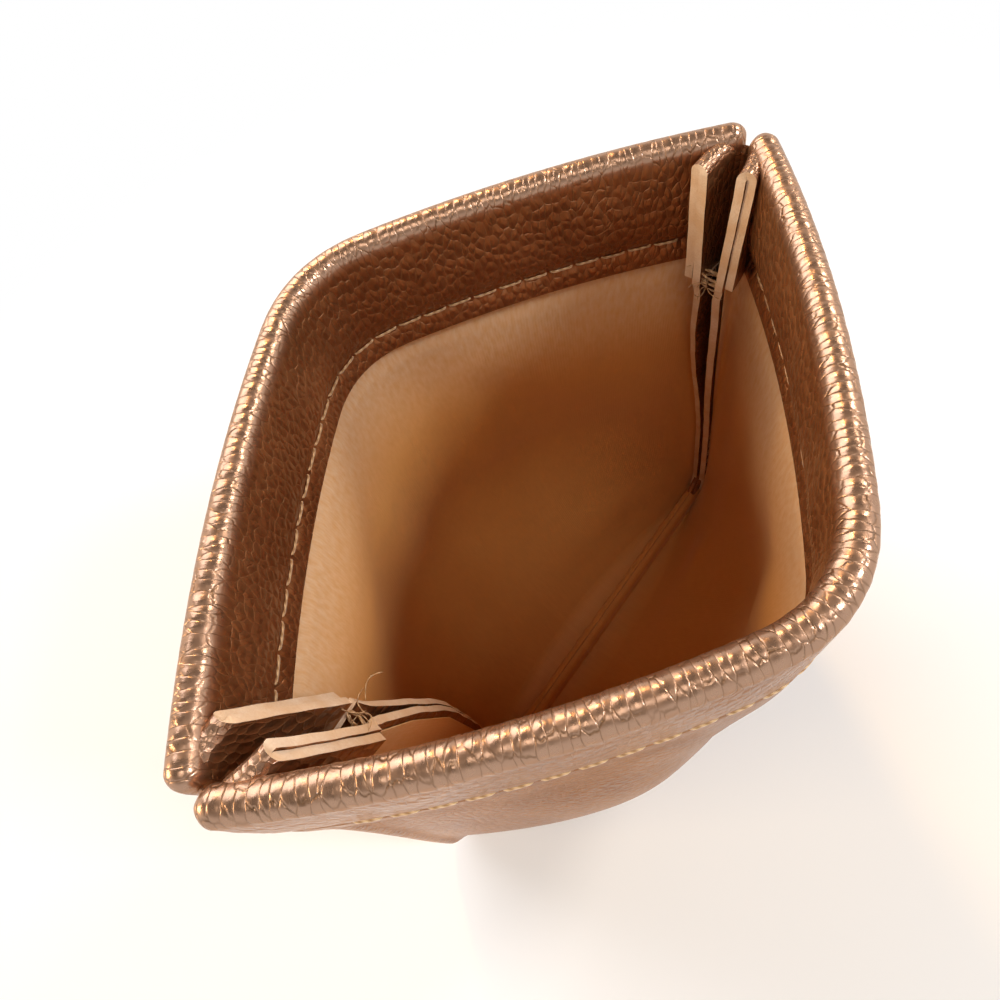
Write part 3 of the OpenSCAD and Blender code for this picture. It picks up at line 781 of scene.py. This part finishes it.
# ----------------------------------------
# The folded hem ends: at each corner of the mouth the double layer of each hem is turned inward
# beyond the side seam and left raw, so its cut end shows two pale layers joined over the crest.
# A narrow fold of the same hide bridges the two panels behind them.
# ----------------------------------------
flap_t = 1.9                         # both layers with the gap between them
flap_top, flap_h = 84.35, 16
layer_t = 0.92                       # one layer, a little puffed at its cut edge
# Each end's length in mm and its angle from the middle plane in degrees, at the crest and the foot.
FLAP_CUT = {("back", "left"): ((3.9, 8.6), (12, 8)), ("front", "left"): ((4.7, 8.6), (12, 6)),
            ("back", "right"): ((5.5, 5.5), (7, 3)), ("front", "right"): ((4.6, 5.2), (14, 8))}


def flap_grid(lengths, swings):
    """An upside-down U carried inward from the corner: two upright legs joined by a half circle.
    Its length and its angle from the middle plane change evenly from the crest to the foot. At
    the corner it is pinched flat and its crest is lower; at the foot its outer leg spreads."""
    radius = flap_t / 2
    arc = np.linspace(0, math.pi, 15)
    crest = flap_top - radius
    outline = np.vstack([
        [(0.0, z) for z in np.linspace(68.15, crest, 26)[:-1]],
        np.stack([radius - radius * np.cos(arc), crest + radius * np.sin(arc)], 1),
        [(flap_t, z) for z in np.linspace(crest, 68.75, 25)[1:]]])
    t = np.linspace(0, 1, 18)[:, None]
    out_by, z = outline.T
    down = np.clip((flap_top - z) / flap_h, 0, 1)
    away = t * np.interp(down, [0, 1], lengths)
    swing = np.radians(np.interp(down, [0, 1], swings))
    pinch = 1 - smooth_step(t * 2.6)
    spread = t ** 2 * (0.03 * np.sin(z * 0.33 + 0.4) + 0.12 * smooth_step((76 - z) / 8) * (out_by > 1.1))
    w = out_by * (1 - 0.62 * pinch) + spread + 0.22 * np.sin(t * math.pi)
    ragged = 0.03 * np.sin(z * 1.3 + out_by * 3) * t ** 6
    x = corner[0] + 0.15 + away * np.cos(swing) - w * np.sin(swing) + ragged
    y = 0.38 + away * np.sin(swing) + w * np.cos(swing)
    return np.stack([x, y, z - pinch * smooth_step((z - 80) / 4)], -1)


def cut_slots(loop, faces, both_edges):
    """Marks the cut edges of a thick sheet: the faces that close its far edge, its near edge too
    where both are cut, and its first and last row."""
    rows, columns = loop.shape[:2]
    at = np.tile(np.arange(columns), rows - 1)
    edge = (at == columns // 2 - 1) | (both_edges & (at == columns - 1))
    return np.concatenate([edge, np.ones(len(faces) - len(at), bool)])


for face, side in QUARTERS:
    points, faces = thick_sheet(flap_grid(*FLAP_CUT[face, side]), layer_t)
    rows, columns = points.shape[:2]
    uv = stacked(0.09 + np.linspace(0, 0.005, rows)[:, None], np.linspace(0, 0.07, columns))
    flap = make_piece(f"{face}_{side}_folded_end", to_quarter(points, face, side), faces,
                      [leather, cut_edge], slots=cut_slots(points, faces, True), uv=uv, crease=45)
    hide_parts(f"{face}_{side}_hem_end")
    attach(flap, f"{side}_corner")
    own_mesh(flap)


def fold_piece(side, part, x_from, x_to, half_y, z, size):
    """Rounded upright block of leather across the middle plane: at each height a ring squarer than
    an ellipse, with square roots of cosine and sine, between two x places and of a given size."""
    sides = 28
    angle = np.linspace(0, 2 * math.pi, sides, endpoint=False)
    ring_x = np.sign(np.cos(angle)) * np.abs(np.cos(angle)) ** 0.5
    ring_y = np.sign(np.sin(angle)) * np.abs(np.sin(angle)) ** 0.5
    z, x_from, x_to, half_y, size = (
        np.broadcast_to(value, z.shape)[:, None] for value in (z, x_from, x_to, half_y, size))
    grid = stacked((x_from + x_to) / 2 + (x_to - x_from) / 2 * ring_x * size, half_y * ring_y * size, z)
    uv = stacked(np.linspace(0, 0.008, sides), z * 0.001)
    return make_piece(f"{side}_{part}", to_quarter(grid, "back", side), closed_tube(len(z), sides),
                      [leather], uv=uv, crease=60)


for side in ("left", "right"):
    z = np.linspace(69.0, 83.2, 30)
    round_top = np.sqrt(np.clip(1 - ((z - z[-1] + 1.2) / 1.2).clip(0, 1) ** 2, 0.01, 1))
    round_top[0] = 0.2
    fold = fold_piece(side, "corner_fold", -36.75, -35.5, 1.62, z, round_top)
    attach(fold, f"{side}_corner")


# ----------------------------------------
# The side seams: each panel's allowance is turned in, a single layer with a raw edge that stands
# free inside the pouch below the hem ends, sewn to the other one close to the fold.
# ----------------------------------------
def allowance_grid(face, side):
    """One allowance from near the bottom to the foot of the hem: its root follows the side seam, and
    its free edge stands at the listed width and leans out with a power of the way across. The
    listed numbers are evened out over neighbouring heights."""
    z = np.linspace(5.0, 68.3, 90)
    t = np.linspace(0, 1, 16)
    heights, widths, leans = ALLOWANCE[face, side]
    ease = np.hanning(15) / np.hanning(15).sum()
    wide, lean = (np.convolve(np.pad(np.interp(z, heights, values), 7, mode="edge"), ease, "valid")[:, None]
                  for values in (widths, leans))
    z = z[:, None]
    x = -side_x(z) + fold_r - 0.1 + smooth_step((z - 64) / 4.3) * 0.3 + (wide + 0.04 * np.sin(z * 1.1)) * t
    y = 0.06 + layer_t + lean * t ** 1.6 + 0.32 * smooth_step((z - 66) / 2.2)
    return stacked(x, y, z)


seam_pitch, seam_run, seam_count = 3.2, 2.4, 17
for side in ("left", "right"):
    for face in ("back", "front"):
        points, faces = thick_sheet(allowance_grid(face, side), layer_t)
        rows, columns = points.shape[:2]
        uv = stacked(0.13 + np.linspace(0, 0.01, columns), np.linspace(0, 0.1, rows)[:, None])
        strip = make_piece(f"{face}_{side}_allowance", to_quarter(points, face, side), faces,
                           [leather, cut_edge], slots=cut_slots(points, faces, False), uv=uv, crease=45)
        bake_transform(strip)
    z = np.linspace(0.7, 69.2, 60)
    foot = np.where(z == z[0], 0.2, 1.0)
    inner_x = -side_x(z) + 1.7 + 0.9 * np.maximum(corner_r - z, 0)
    half_y = 0.8 + 0.82 * smooth_step((z - 9) / 6)
    fold = fold_piece(side, "seam_fold", -side_x(z) + 0.5, inner_x, half_y, z, foot)
    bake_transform(fold)
    local = np.linspace(-0.5, 0.5, 9)
    z = 13.0 + seam_pitch * np.arange(seam_count)[:, None] + local * seam_run
    lines = stacked(-side_x(z) + fold_r + 1.0, 1.02 - 0.2 * np.abs(2 * local) ** 6, z)
    points, faces, uv = thread_tubes(np.concatenate([lines, lines * [1, -1, 1]]), 0.18)
    seam = make_piece(f"{side}_seam_stitching", to_quarter(points, "back", side), faces,
                      [golden_thread], uv=uv)
    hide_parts(f"{side}_seam_thread")
    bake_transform(seam)


# ----------------------------------------
# The bartacks: a few turns of the same thread tie the two cut ends together at the foot of the
# hems, with its cut tails and some loose fibres of hide left sticking out.
# ----------------------------------------
def loop_lines(centre, half_x, half_y, turns):
    """Closed turns of thread round both ends: a circle stretched along y, each turn shifted a little
    in height and tilted by its own angle."""
    angle = np.linspace(0, 2 * math.pi, 33)
    k = np.arange(turns)[:, None]
    x = centre[0] + half_x * np.cos(angle) + 0.12 * np.sin(k * 2.1)
    y = centre[1] + half_y * np.sin(angle)
    z = centre[2] + 0.38 * (k - turns / 2) + 0.35 * np.sin(angle + k * 1.7)
    return stacked(x, y, z)


def loose_lines(start, reach, count, seed):
    """Short loose tails: each leaves the knot in its own direction and curls on a half wave."""
    dice = np.random.default_rng(seed)
    way = dice.normal(size=(count, 3)) * [1.0, 0.8, 0.45] + [0.5, 0, 0.1]
    way /= np.linalg.norm(way, axis=1, keepdims=True)
    side_way = np.cross(way, dice.normal(size=(count, 3)))
    side_way /= np.linalg.norm(side_way, axis=1, keepdims=True)
    t = np.linspace(0, 1, 14)[None, :, None]
    length = reach * dice.uniform(0.4, 1.0, (count, 1, 1))
    begin = np.asarray(start) + dice.normal(size=(count, 3)) * [0.5, 0.5, 0.4]
    curl = 0.35 * np.sin(t * math.pi * 0.9)
    return begin[:, None] + length * (way[:, None] * t + side_way[:, None] * curl)


# Each knot's side, the seed of its tails, its place, the half sizes of its turns and their number.
loop_r, tail_r, tail_reach, tail_count = 0.13, 0.055, 4.2, 7
for side, seed, knot, half_x, half_y, turns in (
        ("left", 5, (-28.2, 0.2, 68.6), 0.4, 0.95, 2), ("right", 11, (-31.3, -0.2, 69.0), 0.6, 1.4, 5)):
    points, faces, uv = together(
        thread_tubes(loop_lines(knot, half_x, half_y, turns), loop_r),
        thread_tubes(loose_lines(np.add(knot, (0.6, 0, -0.2)), tail_reach, tail_count, seed),
                     tail_r, sides=6))
    tack = make_piece(f"{side}_tied_thread", to_quarter(points, "back", side), faces,
                      [golden_thread], uv=uv)
    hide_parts(f"{side}_bartack")
    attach(tack, f"{side}_corner")
    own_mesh(tack)


# ----------------------------------------
# The bottom seam: a plain row of the same thread between the two panels, hidden in the turned
# edge. It keeps the solid's own mesh.
# ----------------------------------------
bottom_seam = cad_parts["bottom_seam_thread"]
bottom_seam.data.materials.clear()
bottom_seam.data.materials.append(golden_thread)
